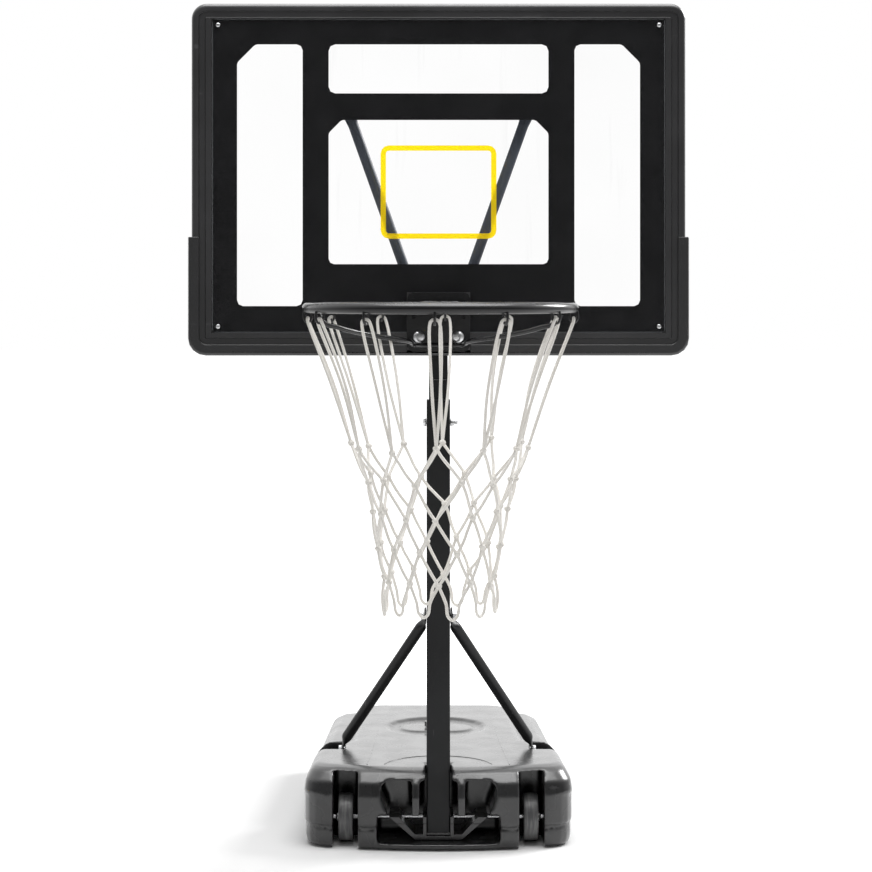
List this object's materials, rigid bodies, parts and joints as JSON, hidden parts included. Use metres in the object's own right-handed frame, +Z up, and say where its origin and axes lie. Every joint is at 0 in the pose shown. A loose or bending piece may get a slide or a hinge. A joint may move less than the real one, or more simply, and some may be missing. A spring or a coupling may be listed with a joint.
{
  "type": "poolside basketball hoop",
  "caption": "Free-standing basketball hoop with a water-filled base on wheels, a telescopic square mast, a windowed backboard, a ring and a cord net.",
  "frame": {"origin": "on the ground under the middle of the water tank", "axes": "+Z up, -Y towards the pool and the ring, +X to the right as seen from the pool"},
  "size_m": [0.848, 1.157, 1.433],
  "materials": {
    "moulded_black": "satin blow-moulded polyethylene",
    "painted_steel": "black powder coat",
    "zinc_steel": "bright zinc plate",
    "print_black": "black screen print behind a clear sheet",
    "print_yellow": "yellow screen print behind a clear sheet",
    "clear_sheet": "clear polycarbonate sheet",
    "wheel_plastic": "moulded grey-black plastic",
    "net_cord": "braided off-white polyester cord",
    "ballast_water": "fresh water"
  },
  "bodies": {
    "base": {"base_tank": "moulded_black", "water_ballast": "ballast_water", "fill_cap_seal": "moulded_black", "pole_cradle": "moulded_black", "wheel_axle": "zinc_steel", "axle_nut_left": "zinc_steel", "axle_nut_right": "zinc_steel", "brace_left": "painted_steel", "brace_right": "painted_steel", "brace_foot_bolt_left": "zinc_steel", "brace_foot_bolt_right": "zinc_steel", "lower_pole": "painted_steel", "pole_foot_plug": "moulded_black", "mouth_bush": "moulded_black", "brace_cross_bolt": "zinc_steel", "brace_cross_nut": "zinc_steel", "height_bolt": "zinc_steel"},
    "mast": {"slide_pole": "painted_steel", "foot_glide": "moulded_black", "head_spigot": "zinc_steel", "head_pole": "painted_steel", "head_plug": "moulded_black", "strut_cross_bolt": "zinc_steel", "strut_cross_nut": "zinc_steel", "v_strut_left": "painted_steel", "v_strut_right": "painted_steel", "v_strut_top_bolt_left": "zinc_steel", "v_strut_top_bolt_right": "zinc_steel", "mount_plate": "painted_steel", "board_frame": "moulded_black", "clear_panel": "clear_sheet", "printed_border": "print_black", "printed_target": "print_yellow", "panel_screw_left_top": "zinc_steel", "panel_screw_right_top": "zinc_steel", "panel_screw_left_bottom": "zinc_steel", "panel_screw_right_bottom": "zinc_steel", "edge_pad": "moulded_black", "rim_ring": "painted_steel", "rim_bracket": "painted_steel", "rim_stay": "painted_steel", "rim_bolt_left": "zinc_steel", "rim_bolt_right": "zinc_steel", "rim_nut_left": "zinc_steel", "rim_nut_right": "zinc_steel", "net": "net_cord"},
    "left_wheel": {"wheel_left": "wheel_plastic"},
    "right_wheel": {"wheel_right": "wheel_plastic"},
    "cap": {"fill_cap": "moulded_black"},
    "wing_nut": {"height_wing_nut": "zinc_steel"}
  },
  "joints": [
    {"name": "mast_height", "type": "slide", "parent": "base", "child": "mast", "axis": [0, 0, 1], "range_m": [0, 0.28]},
    {"name": "left_wheel_spin", "type": "hinge", "parent": "base", "child": "left_wheel", "pos_m": [-0.158, -0.283, 0.045], "axis": [1, 0, 0], "continuous": true},
    {"name": "right_wheel_spin", "type": "hinge", "parent": "base", "child": "right_wheel", "pos_m": [0.158, -0.283, 0.045], "axis": [1, 0, 0], "continuous": true},
    {"name": "cap_turn", "type": "hinge", "parent": "base", "child": "cap", "pos_m": [0, 0.06, 0.135], "axis": [0, 0, 1], "range_deg": [0, 360]},
    {"name": "wing_nut_turn", "type": "hinge", "parent": "base", "child": "wing_nut", "pos_m": [0.028, -0.294, 0.722], "axis": [1, 0, 0], "continuous": true}
  ]
}
